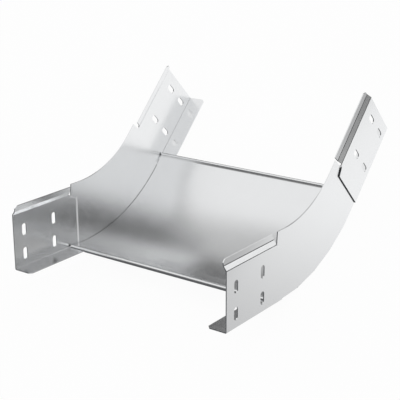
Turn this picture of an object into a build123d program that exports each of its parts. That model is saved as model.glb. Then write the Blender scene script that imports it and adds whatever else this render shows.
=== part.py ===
from build123d import *
from math import atan2, cos, degrees, radians, sin, sqrt, tan
import os

# A rising bend for a cable tray, folded and curved from galvanised sheet steel.
# Two mirrored side plates carry one curved bottom sheet.
# All lengths are millimetres. X is the width, Y the run and Z is up.
# The part lies on the middle flat of its bottom, with both ends rising alike.

# The tray that the bend joins, and the sheet that it is made of
tray_width = 300.0
tray_clearance = 0.75
sheet = 1.25
fold_radius = 0.3

# The run, measured along the underside of the bottom flanges
bend_angle = 45.0
bend_radius = 220.0
straight_length = 113.3
flat_count = 5
flat_angle = 9.8

# The folded section of an end tab
side_height = 82.0
fold_height = 68.6
flange_width = 25.2
lip_in = 3.8
lip_rise = 5.2
rim_in = 0.9
rim_rise = 6.3
flange_chamfer = 3.5
lip_chamfer_run = 4.0
lip_chamfer_drop = 3.0

# The joggle that sets each tab outside the curved plate, placed from where the bend starts
joggle_depth = 1.6
joggle_run = 1.2
joggle_before_bend = 5.8
joggle_length = 27.5
shoulder_height = 61.3
neck_length = 10.5
neck_rise = 4.0
neck_lean = 1.5

# The open notch between a lip and the curved plate, placed from the neck of the joggle
notch_before_neck = 3.0
notch_past_neck = 1.5
notch_sink = 0.6

# The slots for the joint bolts
slot_width = 7.0
slot_length = 15.0
slot_from_end = 17.0
slot_pitch_run = 50.0
slot_height = 16.5
slot_pitch_up = 30.0

# The narrow reliefs between the bottom flanges
relief_gap = 2.0

# The bottom sheet: each end rises into a ridge and curls down behind it
curl_diameter = 5.5
curl_before_bend = 21.3
ridge_rise = 1.6
ridge_blend = 6.0
curl_end_angle = 300.0
curl_clearance = 0.5
sheet_gap = 0.45

joggle_at = straight_length - joggle_before_bend
joggle_root = joggle_at - joggle_length
neck_at = joggle_at - neck_length
lip_length = neck_at - notch_before_neck
notch_end = neck_at + notch_past_neck
curl_from_end = straight_length - curl_before_bend

half_angle = bend_angle / 2
tab_inner = tray_width / 2 + tray_clearance
tab_outer = tab_inner + sheet
plate_outer = tab_outer - joggle_depth
plate_inner = plate_outer - sheet
wall_foot = sheet + fold_radius
flange_tip = tab_outer - flange_width


def on_run(angle, along, height):
    """Point (Y, Z) beside the tangent line of the underside at an angle from the middle."""
    a = radians(angle)
    reach = bend_radius - height
    return (reach * sin(a) + along * cos(a), bend_radius - reach * cos(a) + along * sin(a))


def near_end(run, height):
    """Point (Y, Z) by its distance from the near end and its height on the tab."""
    return on_run(-half_angle, run - straight_length, height)


def mirrored(points):
    """The same points on the far half, in reverse order."""
    return [(-y, z) for y, z in reversed(points)]


def flat_angles():
    """Angles of the lines that the bottom edge follows, from the near tab to the far tab."""
    flats = [flat_angle * (i - (flat_count - 1) / 2) for i in range(flat_count)]
    return [-half_angle] + flats + [half_angle]


def corner_points(height):
    """Corners (Y, Z) of the many-sided bottom edge at a height above its underside."""
    angles = flat_angles()
    corners = []
    for a, b in zip(angles, angles[1:]):
        reach = (bend_radius - height) / cos(radians((b - a) / 2))
        middle = radians((a + b) / 2)
        corners.append((reach * sin(middle), bend_radius - reach * cos(middle)))
    return corners


def side_plane(x):
    """Plane that looks along X, with Y to the right and Z up."""
    return Plane(origin=(x, 0, 0), x_dir=(0, 1, 0), z_dir=(1, 0, 0))


def slab(points, x_start, x_end):
    """A straight-sided solid from a side outline (Y, Z)."""
    face = make_face(Polyline(*points, close=True))
    return extrude(side_plane(x_start) * face, x_end - x_start)


def section_plane(y, z, angle):
    """Cross-section plane at a point of the run: X to the right, up across the sheet."""
    a = radians(angle)
    return Plane(origin=(0, y, z), x_dir=(1, 0, 0), z_dir=(0, -cos(a), -sin(a)))


def folded(outer_points, inside):
    """Section of a folded sheet, from the corner points of its outer face."""
    outer = FilletPolyline(*outer_points, radius=sheet + fold_radius)
    return make_face(offset(outer, amount=sheet, side=inside))


def tab_profile():
    """One tab: bottom flange, wall, lip and rim folded in one section."""
    points = [
        (flange_tip, 0),
        (tab_outer, 0),
        (tab_outer, fold_height),
        (tab_outer - lip_in, fold_height + lip_rise),
        (tab_outer - lip_in - rim_in, fold_height + lip_rise + rim_rise),
    ]
    y, z = near_end(0, 0)
    section = section_plane(y, z, -half_angle) * folded(points, Side.LEFT)
    return extrude(section, -joggle_at)


def tab_trim():
    """Everything above the joggle line and the notch, cut away from a tab."""
    top = side_height + 10
    past = joggle_at + 10
    run_and_height = [
        (lip_length, top),
        (lip_length, fold_height - notch_sink),
        (neck_at - neck_lean, fold_height - notch_sink),
        (neck_at, shoulder_height + neck_rise),
        (joggle_at, shoulder_height),
        (past, shoulder_height),
        (past, top),
    ]
    points = [near_end(run, height) for run, height in run_and_height]
    return slab(points, flange_tip, tab_outer + 5)


def end_chamfers():
    """The corners cut off the flange and off the rim at the open end."""
    y, z = near_end(0, 0)
    a = radians(half_angle)
    flat = Plane(origin=(0, y, z), x_dir=(1, 0, 0), z_dir=(0, sin(a), cos(a)))
    corner = Polyline(
        (flange_tip, 0),
        (flange_tip + flange_chamfer, 0),
        (flange_tip, flange_chamfer),
        close=True,
    )
    flange_cut = extrude(flat * make_face(corner), sheet * 2, both=True)
    rim_top = fold_height + lip_rise + rim_rise
    points = [
        near_end(-1, rim_top + 1),
        near_end(-1, rim_top - lip_chamfer_drop),
        near_end(0, rim_top - lip_chamfer_drop),
        near_end(lip_chamfer_run, rim_top + 0.1),
        near_end(lip_chamfer_run, rim_top + 1),
    ]
    rim_cut = slab(points, tab_outer - lip_in - rim_in - 5, tab_outer)
    return flange_cut + rim_cut


def joggle_outline(grow, margin):
    """Outline (run, height) of the tab's upper corner, grown towards the curved plate."""
    lean = neck_lean / (fold_height - notch_sink - shoulder_height - neck_rise)
    top = fold_height - notch_sink + margin
    neck_height = shoulder_height + neck_rise + grow
    run_and_height = [
        (joggle_root - margin, wall_foot - margin),
        (joggle_at + grow, wall_foot - margin),
        (joggle_at + grow, shoulder_height + grow),
        (neck_at + grow, neck_height),
        (neck_at + grow - lean * (top - neck_height), top),
        (joggle_root - margin, top),
    ]
    return [near_end(run, height) for run, height in run_and_height]


def stepped_block(x_low, x_high, margin):
    """A block whose end slopes from the curved plate's plane out to the tab's plane."""
    low = make_face(Polyline(*joggle_outline(joggle_run, margin), close=True))
    high = make_face(Polyline(*joggle_outline(0, margin), close=True))
    return loft([side_plane(x_low) * low, side_plane(x_high) * high], ruled=True)


def joggle():
    """The sloping step of the wall between a tab and the curved plate."""
    base = slab(joggle_outline(joggle_run, 0), plate_inner, plate_outer)
    step = stepped_block(plate_outer, tab_outer, 0)
    pocket = stepped_block(plate_inner, tab_inner, 1)
    return base + step - pocket


def curved_wall():
    """The flat wall between the joggles, many-sided below and hollowed by an arc above."""
    joggle_line = joggle_outline(joggle_run, 0)[1:5]
    tip = near_end(notch_end, side_height)
    tangent = near_end(straight_length, side_height)
    near_edge = Polyline(*joggle_line, tip, tangent)
    arc = ThreePointArc(tangent, (0, side_height), (-tangent[0], tangent[1]))
    far_edge = Polyline(*mirrored([*joggle_line, tip, tangent]))
    foot = Polyline(
        (-joggle_line[0][0], joggle_line[0][1]),
        *reversed(corner_points(wall_foot)),
        joggle_line[0],
    )
    face = make_face(near_edge + arc + far_edge + foot)
    return extrude(side_plane(plate_inner) * face, sheet)


def flange_run(angle, start, end):
    """A length of folded flange under the curved wall, along the tangent line at an angle."""
    flat = Line((flange_tip, 0), (plate_outer - wall_foot, 0))
    fold = JernArc(start=flat @ 1, tangent=flat % 1, radius=wall_foot, arc_size=90)
    section = make_face(offset(flat + fold, amount=sheet, side=Side.LEFT))
    y, z = on_run(angle, start, 0)
    return extrude(section_plane(y, z, angle) * section, start - end)


def end_flange():
    """The near flange, mitred where the tab's straight line meets the first flat."""
    first_angle = flat_angles()[1]
    mitre_angle = radians((first_angle - half_angle) / 2)
    mitre = Plane(
        origin=(0, *corner_points(0)[0]),
        x_dir=(1, 0, 0),
        z_dir=(0, cos(mitre_angle), sin(mitre_angle)),
    )
    mitre_reach = bend_radius * tan(radians((first_angle + half_angle) / 2)) + sheet
    flat_reach = bend_radius * tan(radians(flat_angle / 2)) - relief_gap / 2
    joggle_end = joggle_run + relief_gap - joggle_before_bend
    straight = flange_run(-half_angle, joggle_end, mitre_reach)
    flat = flange_run(first_angle, -mitre_reach, flat_reach)
    straight = split(straight, bisect_by=mitre, keep=Keep.BOTTOM)
    return straight + split(flat, bisect_by=mitre, keep=Keep.TOP)


def bottom_flanges():
    """The flanges folded in under the bottom sheet, with a relief at each inner corner."""
    reach = bend_radius * tan(radians(flat_angle / 2)) - relief_gap / 2
    inner_flats = flat_angles()[2:-2]
    flanges = [flange_run(angle, -reach, reach) for angle in inner_flats]
    near = end_flange()
    return [near, *flanges, mirror(near, about=Plane.XZ)]


def slots():
    """Tools for the four joint slots of a near tab."""
    tools = []
    y, z = near_end(0, 0)
    a = radians(-half_angle)
    tab = Plane(origin=(plate_inner, y, z), x_dir=(0, cos(a), sin(a)), z_dir=(1, 0, 0))
    for i in range(2):
        for j in range(2):
            place = Pos(slot_from_end + i * slot_pitch_run, slot_height + j * slot_pitch_up)
            hole = place * SlotOverall(slot_length, slot_width, rotation=90)
            tools.append(extrude(tab * hole, joggle_depth + 2 * sheet))
    return tools


def side_plate():
    """The right side plate, made as one folded sheet."""
    tab = tab_profile() - tab_trim() - end_chamfers()
    near = tab + joggle() - slots()
    far = mirror(near, about=Plane.XZ)
    plate = curved_wall() + near + far
    for flange in bottom_flanges():
        plate = plate + flange
    return plate


def sheet_section():
    """Section (Y, Z) of the bottom sheet: the arc, and a ridge and curl at each end."""
    radius = curl_diameter / 2
    curl_run = curl_from_end + radius
    curl_height = 2 * sheet + ridge_rise - radius
    blend_height = 2 * sheet + ridge_blend
    blend_rise = blend_height - curl_height
    blend_step = sqrt((radius + ridge_blend) ** 2 - blend_rise**2)
    lean = degrees(atan2(blend_rise, blend_step))

    def round_point(centre_run, centre_height, r, angle):
        a = radians(angle)
        return near_end(centre_run + r * cos(a), centre_height + r * sin(a))

    def face_line(curl_radius, blend_radius, height):
        """One face of the sheet, from the lip of the near curl to the middle of the run."""
        curl = ThreePointArc(
            round_point(curl_run, curl_height, curl_radius, curl_end_angle),
            round_point(curl_run, curl_height, curl_radius, (curl_end_angle + lean) / 2),
            round_point(curl_run, curl_height, curl_radius, lean),
        )
        blend_run = curl_run + blend_step
        blend = ThreePointArc(
            round_point(blend_run, blend_height, blend_radius, 180 + lean),
            round_point(blend_run, blend_height, blend_radius, 225 + lean / 2),
            round_point(blend_run, blend_height, blend_radius, 270),
        )
        tangent = near_end(straight_length, height)
        straight = Line(blend @ 1, tangent)
        arc = ThreePointArc(tangent, on_run(-half_angle / 2, 0, height), (0, height))
        return [curl, blend, straight, arc]

    upper = face_line(radius, ridge_blend, 2 * sheet)
    lower = face_line(radius - sheet, ridge_blend + sheet, sheet)
    lip = Line(upper[0] @ 0, lower[0] @ 0)
    near = [*upper, *lower, lip]
    far = [mirror(edge, about=Plane.YZ) for edge in near]
    return make_face(near + far)


def curl_cut():
    """The space of the right flange, cut out of the lower half of the near curl."""
    start = curl_from_end - 1
    end = curl_from_end + curl_diameter + 1
    corners = [(start, sheet), (end, sheet), (end, -curl_diameter), (start, -curl_diameter)]
    points = [near_end(run, height) for run, height in corners]
    return slab(points, flange_tip - curl_clearance, tab_outer)


def bottom_sheet():
    """The curved sheet on the flanges, its curls reaching down between the flanges."""
    width = 2 * (plate_inner - sheet_gap)
    whole = extrude(side_plane(-width / 2) * sheet_section(), width)
    right_cut = curl_cut()
    for cut in [right_cut, mirror(right_cut, about=Plane.XZ)]:
        whole = whole - cut - mirror(cut, about=Plane.YZ)
    return whole


os.makedirs("parts", exist_ok=True)
right = side_plate()
left = mirror(right, about=Plane.YZ)
export_step(right, "parts/side_plate_right.step")
export_step(left, "parts/side_plate_left.step")
export_step(bottom_sheet(), "parts/bottom_sheet.step")
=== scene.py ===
import bpy
from math import cos, radians, sin
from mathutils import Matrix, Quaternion, Vector

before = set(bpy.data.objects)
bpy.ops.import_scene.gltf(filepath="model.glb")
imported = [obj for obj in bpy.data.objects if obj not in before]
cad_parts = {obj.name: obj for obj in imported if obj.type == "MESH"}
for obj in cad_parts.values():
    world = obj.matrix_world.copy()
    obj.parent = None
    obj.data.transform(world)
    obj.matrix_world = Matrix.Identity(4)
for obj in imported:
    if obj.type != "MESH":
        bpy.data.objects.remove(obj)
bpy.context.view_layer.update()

# Side plates: two mirrored plates of hot-dip galvanised sheet steel, sheared, slotted, folded
# and joggled. The zinc coat is satin and pale grey. The sheared ends show duller steel, and
# shade is painted dark along the sharp folds.


def linear(hex_colour):
    """An sRGB hex colour as the linear colour that the shaders take."""
    channels = [int(hex_colour[i:i + 2], 16) / 255 for i in (1, 3, 5)]
    bent = [c / 12.92 if c <= 0.04045 else ((c + 0.055) / 1.055) ** 2.4 for c in channels]
    return (*bent, 1.0)


def add_node(tree, kind, inputs=None, **settings):
    """Adds a node, makes its settings, and gives each input a value or a link from a socket."""
    node = tree.nodes.new(kind)
    for name, value in settings.items():
        setattr(node, name, value)
    for name, value in (inputs or {}).items():
        if isinstance(value, bpy.types.NodeSocket):
            tree.links.new(value, node.inputs[name])
        else:
            node.inputs[name].default_value = value
    return node


def new_material(name):
    """An empty material, with its node tree and the socket that takes its surface."""
    material = bpy.data.materials.new(name)
    material.use_nodes = True
    material.node_tree.nodes.clear()
    output = material.node_tree.nodes.new("ShaderNodeOutputMaterial")
    return material, material.node_tree, output.inputs["Surface"]


zinc_hex = "#EFF0F1"
sheared_end_hex = "#808285"
# Colour of the painted shade along the folds and on the far joggles' outer steps
painted_shade_hex = "#2C2E30"
mill_grain_width = 0.0012
mill_grain_stretch = 0.06
mill_grain_depth = 0.00002
zinc_bloom_size = 0.014
bloom_share = 0.6
bloom_range = {"From Min": 0.3, "From Max": 0.7}
coat_tint = {"To Min": 0.97, "To Max": 1.0}
satin_roughness = {"To Min": 0.21, "To Max": 0.25}
sheared_roughness_added = 0.2

# Faces are told apart by how much of their facing is along the run, across it or upwards. Each
# kind of fold has a middle value and a spread to either side of it.
sheared_end_facing = 0.8
upward_facing = 0.1
lip_fold_facing = 0.90
lip_fold_spread = 0.084
foot_fold_facing = 0.34
foot_fold_spread = 0.18
joggle_corner_facing = 0.695
joggle_corner_spread = 0.05
joggle_step_across = 0.60
joggle_step_along = 0.74
joggle_step_spread = 0.05
downward_facing = -0.2


def galvanised_steel(name):
    """Hot-dip galvanised sheet: an even satin zinc coat, with faint rolling grain and cloudy bloom.

    The grain is under a tenth of a millimetre wide on real sheet, and is drawn coarser so that
    it shows. Faces that look along the run are sheared ends. Shade is painted dark along the
    folds and on the far joggles' outer steps.
    """
    material, tree, surface = new_material(name)
    place = add_node(tree, "ShaderNodeTexCoord").outputs["Object"]
    rolled = add_node(tree, "ShaderNodeMapping", {"Vector": place,
                                                  "Scale": (1.0, mill_grain_stretch, 1.0)})
    grain = add_node(tree, "ShaderNodeTexNoise", {"Vector": rolled.outputs["Vector"], "Detail": 3.0,
                                                  "Roughness": 0.6, "Scale": 1 / mill_grain_width})
    bloom = add_node(tree, "ShaderNodeTexNoise", {"Vector": place, "Detail": 4.0,
                                                  "Roughness": 0.55, "Scale": 1 / zinc_bloom_size})
    coat = add_node(tree, "ShaderNodeMix", {"Factor": bloom_share, "A": grain.outputs["Fac"],
                                            "B": bloom.outputs["Fac"]})

    normal = add_node(tree, "ShaderNodeNewGeometry").outputs["Normal"]
    facing = add_node(tree, "ShaderNodeSeparateXYZ", {"Vector": normal}).outputs
    across = add_node(tree, "ShaderNodeMath", {0: facing["X"]}, operation="ABSOLUTE")
    along = add_node(tree, "ShaderNodeMath", {0: facing["Y"]}, operation="ABSOLUTE")
    sheared = add_node(tree, "ShaderNodeMath", {0: along.outputs[0], 1: sheared_end_facing},
                       operation="GREATER_THAN")

    tint = add_node(tree, "ShaderNodeMapRange", {"Value": coat.outputs["Result"], **bloom_range,
                                                 **coat_tint})
    zinc = add_node(tree, "ShaderNodeVectorMath", {0: linear(zinc_hex)[:3],
                                                   "Scale": tint.outputs["Result"]}, operation="SCALE")
    colour = add_node(tree, "ShaderNodeMix", data_type="RGBA",
                      inputs={"Factor": sheared.outputs[0], "A": zinc.outputs["Vector"],
                              "B": linear(sheared_end_hex)})
    satin = add_node(tree, "ShaderNodeMapRange", {"Value": coat.outputs["Result"], **bloom_range,
                                                  **satin_roughness})
    dull = add_node(tree, "ShaderNodeMath", {0: sheared.outputs[0], 1: sheared_roughness_added,
                                             2: satin.outputs["Result"]}, operation="MULTIPLY_ADD")

    # Shade is painted dark along the folds: on the lips at both ends, and in the far half also
    # at the foot of the walls and on the sloping corners of the joggles.
    lip_fold = add_node(tree, "ShaderNodeMath", {0: across.outputs[0], 1: lip_fold_facing,
                                                 2: lip_fold_spread}, operation="COMPARE")
    foot_fold = add_node(tree, "ShaderNodeMath", {0: across.outputs[0], 1: foot_fold_facing,
                                                  2: foot_fold_spread}, operation="COMPARE")
    joggle_corner = add_node(tree, "ShaderNodeMath", {0: across.outputs[0], 1: joggle_corner_facing,
                                                      2: joggle_corner_spread}, operation="COMPARE")
    foot_or_corner = add_node(tree, "ShaderNodeMath", {0: foot_fold.outputs[0],
                                                       1: joggle_corner.outputs[0]}, operation="MAXIMUM")
    spot = add_node(tree, "ShaderNodeSeparateXYZ", {"Vector": place}).outputs
    far_half = add_node(tree, "ShaderNodeMath", {0: spot["Y"], 1: 0.0}, operation="GREATER_THAN")
    far_fold = add_node(tree, "ShaderNodeMath", {0: foot_or_corner.outputs[0], 1: far_half.outputs[0]},
                        operation="MULTIPLY")
    any_fold = add_node(tree, "ShaderNodeMath", {0: lip_fold.outputs[0], 1: far_fold.outputs[0]},
                        operation="MAXIMUM")
    upward = add_node(tree, "ShaderNodeMath", {0: facing["Z"], 1: upward_facing},
                      operation="GREATER_THAN")
    fold = add_node(tree, "ShaderNodeMath", {0: any_fold.outputs[0], 1: upward.outputs[0]},
                    operation="MULTIPLY")

    # The outer steps of the two far joggles lean downwards and get the same painted shade
    step_across = add_node(tree, "ShaderNodeMath", {0: across.outputs[0], 1: joggle_step_across,
                                                    2: joggle_step_spread}, operation="COMPARE")
    step_along = add_node(tree, "ShaderNodeMath", {0: along.outputs[0], 1: joggle_step_along,
                                                   2: joggle_step_spread}, operation="COMPARE")
    step = add_node(tree, "ShaderNodeMath", {0: step_across.outputs[0], 1: step_along.outputs[0]},
                    operation="MULTIPLY")
    downward = add_node(tree, "ShaderNodeMath", {0: facing["Z"], 1: downward_facing},
                        operation="LESS_THAN")
    outer_step = add_node(tree, "ShaderNodeMath", {0: step.outputs[0], 1: downward.outputs[0]},
                          operation="MULTIPLY")
    far_step = add_node(tree, "ShaderNodeMath", {0: outer_step.outputs[0], 1: far_half.outputs[0]},
                        operation="MULTIPLY")
    dark = add_node(tree, "ShaderNodeMath", {0: fold.outputs[0], 1: far_step.outputs[0]},
                    operation="MAXIMUM")
    # Painted shade: where the fold or step masks are set, the zinc colour gives way to a near-black one
    painted_fold_shade = add_node(tree, "ShaderNodeMix", data_type="RGBA",
                      inputs={"Factor": dark.outputs[0], "A": colour.outputs["Result"],
                              "B": linear(painted_shade_hex)})
    relief = add_node(tree, "ShaderNodeBump", {"Height": grain.outputs["Fac"], "Strength": 0.02,
                                               "Distance": mill_grain_depth})
    metal = add_node(tree, "ShaderNodeBsdfPrincipled", {"Metallic": 1.0, "Roughness": dull.outputs[0],
                                                        "Base Color": painted_fold_shade.outputs["Result"],
                                                        "Normal": relief.outputs["Normal"]})
    tree.links.new(metal.outputs["BSDF"], surface)
    return material


side_steel = galvanised_steel("galvanised_side_steel")
for side in ("side_plate_left", "side_plate_right"):
    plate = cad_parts[side]
    plate.data.materials.clear()
    plate.data.materials.append(side_steel)

# Bottom sheet: one piece of the same steel, rolled to the curve of the bend and laid on the
# flanges, with a ridge and a curl at each end.
bottom_steel = galvanised_steel("galvanised_bottom_steel")
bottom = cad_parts["bottom_sheet"]
bottom.data.materials.clear()
bottom.data.materials.append(bottom_steel)

# Floor: a plain white sheet of card that the camera sees as white, with the part's soft shadow.
# Satin steel mirrors it with painted levels instead: brighter towards the far side, with painted
# shade under the part and well out to the right.
floor_reach = 6.0
shade_middle = -0.03
corners = [(-floor_reach, -floor_reach, 0), (floor_reach, -floor_reach, 0),
           (floor_reach, floor_reach, 0), (-floor_reach, floor_reach, 0)]
floor_mesh = bpy.data.meshes.new("floor")
floor_mesh.from_pydata(corners, [], [(0, 1, 2, 3)])
floor = bpy.data.objects.new("floor", floor_mesh)
bpy.context.scene.collection.objects.link(floor)

card, tree, surface = new_material("white_card")
ground = add_node(tree, "ShaderNodeTexCoord").outputs["Object"]
spot = add_node(tree, "ShaderNodeSeparateXYZ", {"Vector": ground}).outputs
brighter_away = add_node(tree, "ShaderNodeMapRange", interpolation_type="SMOOTHSTEP",
                         inputs={"Value": spot["Y"], "From Min": -0.20, "From Max": 0.14,
                                 "To Min": 0.62, "To Max": 1.02})

# The painted shade under the part fades out towards its outline, and lies a little towards the near end
sideways = add_node(tree, "ShaderNodeMath", {0: spot["X"]}, operation="ABSOLUTE")
beside = add_node(tree, "ShaderNodeMapRange", interpolation_type="SMOOTHSTEP",
                  inputs={"Value": sideways.outputs[0], "From Min": 0.11, "From Max": 0.15})
from_shade = add_node(tree, "ShaderNodeMath", {0: spot["Y"], 1: shade_middle}, operation="SUBTRACT")
endways = add_node(tree, "ShaderNodeMath", {0: from_shade.outputs[0]}, operation="ABSOLUTE")
beyond = add_node(tree, "ShaderNodeMapRange", interpolation_type="SMOOTHSTEP",
                  inputs={"Value": endways.outputs[0], "From Min": 0.08, "From Max": 0.165})
clear = add_node(tree, "ShaderNodeMath", {0: beside.outputs[0], 1: beyond.outputs[0]},
                 operation="MAXIMUM")
shaded = add_node(tree, "ShaderNodeMapRange", {"Value": clear.outputs[0], "To Min": 0.56,
                                               "To Max": 1.0})
open_floor = add_node(tree, "ShaderNodeMath", {0: brighter_away.outputs[0], 1: shaded.outputs[0]},
                      operation="MULTIPLY")

# Painted shade well out to the right, seen only in the steel
far_right = add_node(tree, "ShaderNodeMapRange", interpolation_type="SMOOTHSTEP",
                     inputs={"Value": spot["X"], "From Min": 0.25, "From Max": 0.30,
                             "To Min": 1.0, "To Max": 0.5})
mirrored = add_node(tree, "ShaderNodeMath", {0: open_floor.outputs[0], 1: far_right.outputs[0]},
                    operation="MULTIPLY")

# The camera sees nearly bare white with a little of the paper's own shading, and the steel
# mirrors the painted levels above
rays = add_node(tree, "ShaderNodeLightPath").outputs
level = add_node(tree, "ShaderNodeMix", {"Factor": rays["Is Glossy Ray"], "A": 1.0,
                                         "B": mirrored.outputs[0]})
glow = add_node(tree, "ShaderNodeEmission", {"Strength": level.outputs["Result"]})
paper = add_node(tree, "ShaderNodeBsdfDiffuse", {"Color": linear("#FAFAFA")})
shown_bare = add_node(tree, "ShaderNodeMath", {0: rays["Is Camera Ray"], 1: 0.95,
                                               2: rays["Is Glossy Ray"]}, operation="MULTIPLY_ADD")
look = add_node(tree, "ShaderNodeMixShader", {0: shown_bare.outputs[0], 1: paper.outputs[0],
                                              2: glow.outputs[0]})
tree.links.new(look.outputs[0], surface)
floor_mesh.materials.append(card)

# Studio: a pale tent with soft boxes to the left and right, lamps at the back, and dark flags
# between them. They shape the satin steel, which shows little else than what it mirrors.
world = bpy.data.worlds.new("studio")
bpy.context.scene.world = world
world.use_nodes = True
tree = world.node_tree
way = add_node(tree, "ShaderNodeTexCoord").outputs["Generated"]
climb = add_node(tree, "ShaderNodeSeparateXYZ", {"Vector": way}).outputs["Z"]
tent = add_node(tree, "ShaderNodeMapRange", interpolation_type="SMOOTHSTEP",
                inputs={"Value": climb, "From Max": 0.9, "To Min": 0.66, "To Max": 0.82})
brightness = tent.outputs["Result"]

# Bearings run from the far end towards the right. Each round patch is whole out to one angle
# from its middle and gone by another. All angles are in degrees, and a level of 1 is white.
patches = {
    "left soft box": {"bearing": -75, "height": 52, "whole": 14, "gone": 42, "level": 0.93},
    "right soft box": {"bearing": 75, "height": 52, "whole": 14, "gone": 42, "level": 0.95},
    "grey net at the back": {"bearing": -22, "height": 40, "whole": 8, "gone": 28, "level": 0.5},
    "flag in front": {"bearing": -140, "height": 28, "whole": 10, "gone": 34, "level": 0.15},
    "flag back left": {"bearing": -44, "height": -1, "whole": 12, "gone": 30, "level": 0.03},
    "flag back right": {"bearing": 48.5, "height": 13.5, "whole": 12, "gone": 32, "level": 0.05},
    "low lamp at the back": {"bearing": 24, "height": 12, "whole": 8, "gone": 17, "level": 1.4},
    "high lamp at the back": {"bearing": 4, "height": 22, "whole": 6, "gone": 15, "level": 1.9},
}
for patch in patches.values():
    bearing = radians(patch["bearing"])
    climb_angle = radians(patch["height"])
    aim = (sin(bearing) * cos(climb_angle), cos(bearing) * cos(climb_angle), sin(climb_angle))
    towards = add_node(tree, "ShaderNodeVectorMath", {0: way, 1: aim}, operation="DOT_PRODUCT")
    mask = add_node(tree, "ShaderNodeMapRange", {"Value": towards.outputs["Value"],
                                                 "From Min": cos(radians(patch["gone"])),
                                                 "From Max": cos(radians(patch["whole"]))},
                    interpolation_type="SMOOTHSTEP")
    painted = add_node(tree, "ShaderNodeMix", {"Factor": mask.outputs["Result"], "A": brightness,
                                               "B": patch["level"]})
    brightness = painted.outputs["Result"]
rays = add_node(tree, "ShaderNodeLightPath").outputs
shown = add_node(tree, "ShaderNodeMix", {"Factor": rays["Is Camera Ray"], "A": brightness, "B": 1.0})
background = tree.nodes["Background"]
background.inputs["Color"].default_value = (1, 1, 1, 1)
tree.links.new(shown.outputs["Result"], background.inputs["Strength"])

# Camera: a long lens from the near right, above the part, at the photograph's angle.
camera = bpy.data.objects.new("camera", bpy.data.cameras.new("camera"))
bpy.context.scene.collection.objects.link(camera)
camera.data.sensor_width = 36
camera.data.lens = 94.15
camera.location = (0.70475, -0.75501, 0.79276)
sight_line = Vector((-0.56039, 0.59215, -0.57907))
camera_roll = Quaternion((0, 0, 1), radians(-16.25))
camera.rotation_mode = "QUATERNION"
camera.rotation_quaternion = sight_line.to_track_quat("-Z", "Y") @ camera_roll
bpy.context.scene.camera = camera

bpy.context.scene.view_settings.view_transform = "Standard"
